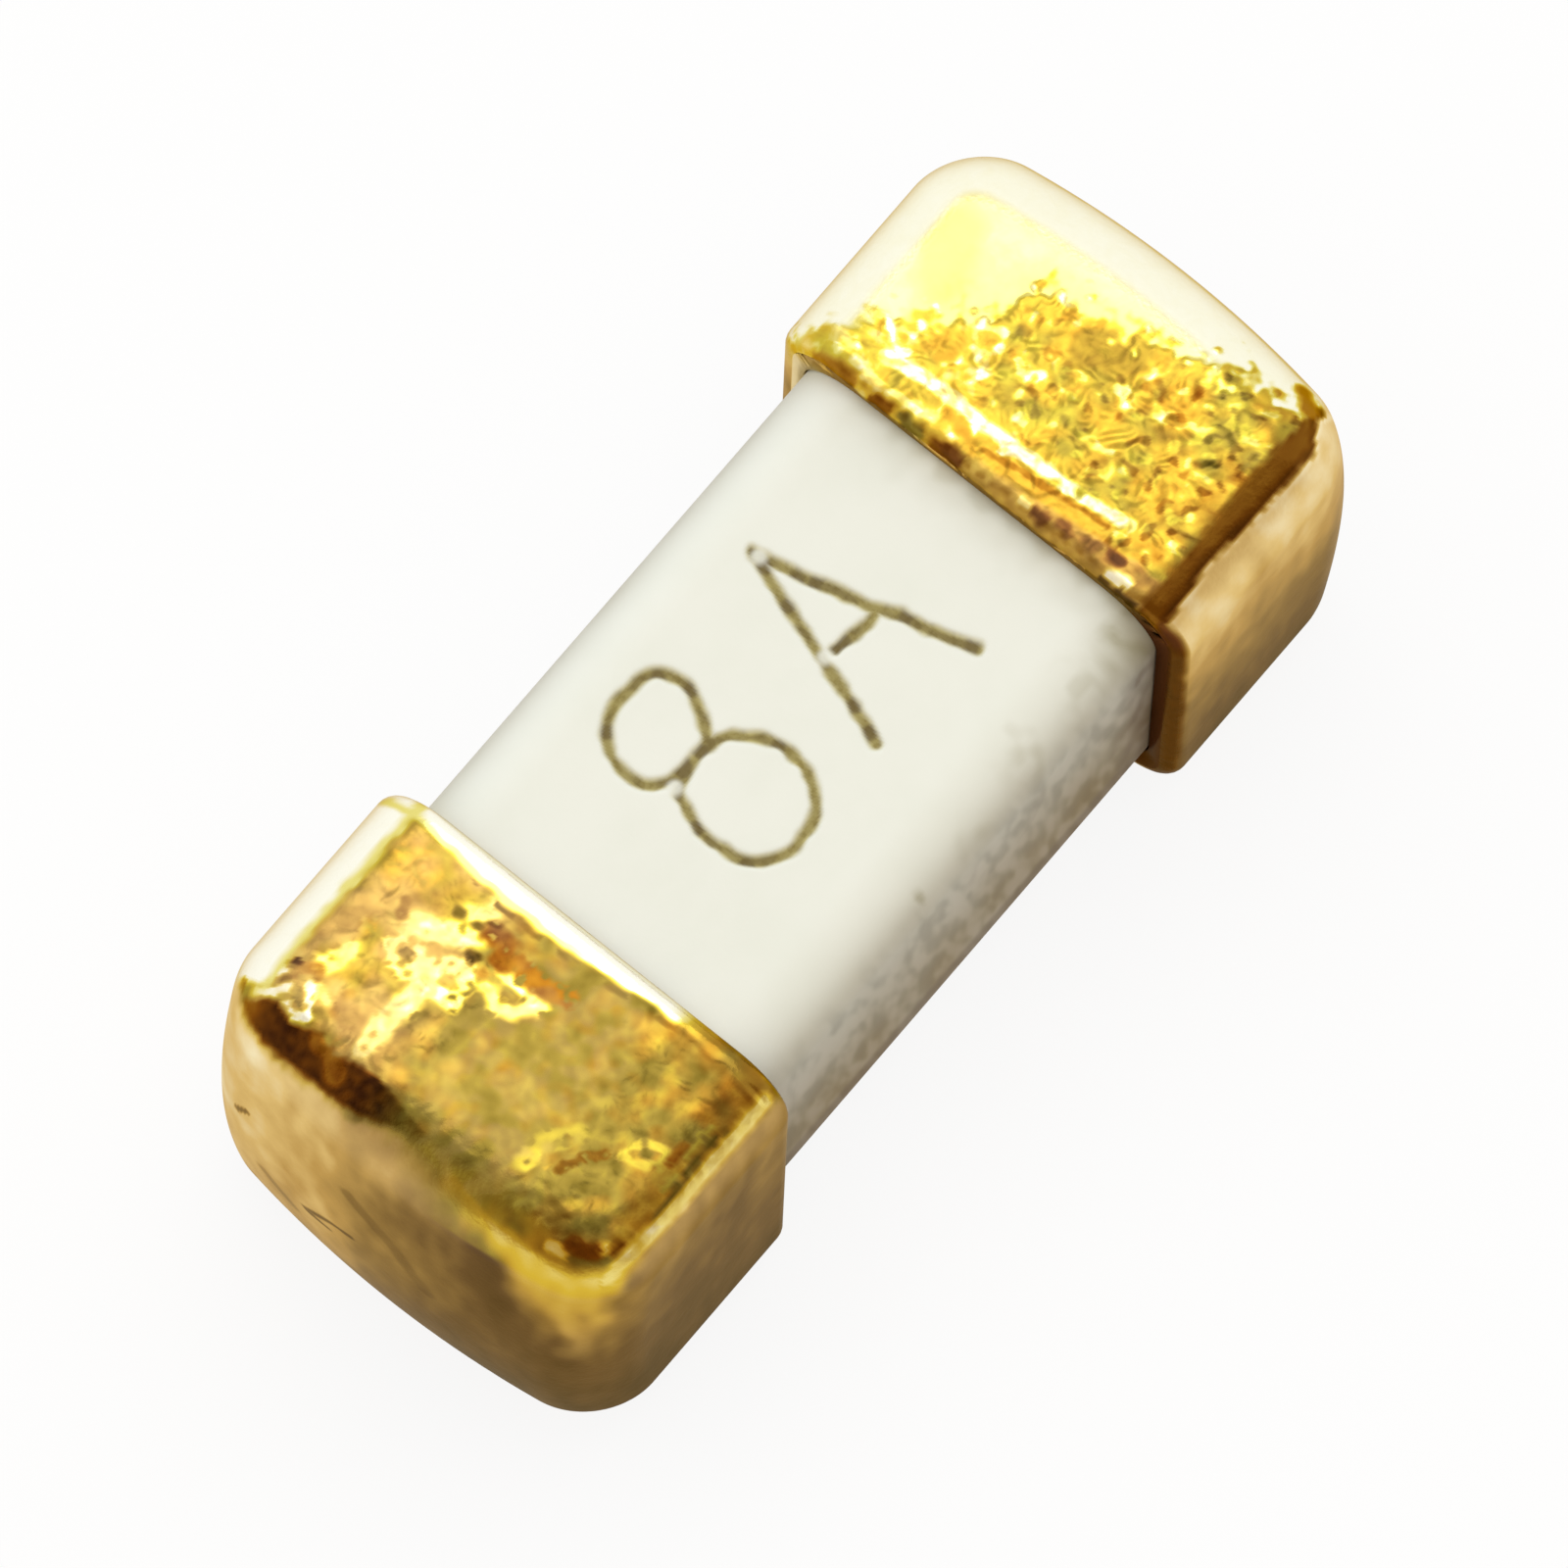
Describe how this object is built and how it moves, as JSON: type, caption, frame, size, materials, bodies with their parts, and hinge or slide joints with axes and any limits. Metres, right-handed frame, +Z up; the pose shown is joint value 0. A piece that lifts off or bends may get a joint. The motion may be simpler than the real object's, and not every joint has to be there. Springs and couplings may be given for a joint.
{
  "type": "surface-mount fuse",
  "caption": "Surface-mount chip fuse: square ceramic tube with gold-plated end caps, a fuse wire inside held by solder, and a rating mark on top.",
  "frame": {"origin": "middle of the fuse's underside, on the surface that both caps rest on", "axes": "+X along the length to the right-hand cap, +Y to the top of the rating mark, +Z up, out of the marked face"},
  "size_m": [0.006, 0.0024, 0.0025],
  "materials": {
    "ceramic": "matt fired",
    "gold_plate": "gold-plated, rough on top and satin on the sides",
    "wire_metal": "drawn, tinned",
    "solder": "dull"
  },
  "bodies": {
    "root": {"ceramic_body": "ceramic", "left_end_cap": "gold_plate", "right_end_cap": "gold_plate", "fuse_wire": "wire_metal", "left_solder": "solder", "right_solder": "solder"}
  },
  "joints": []
}
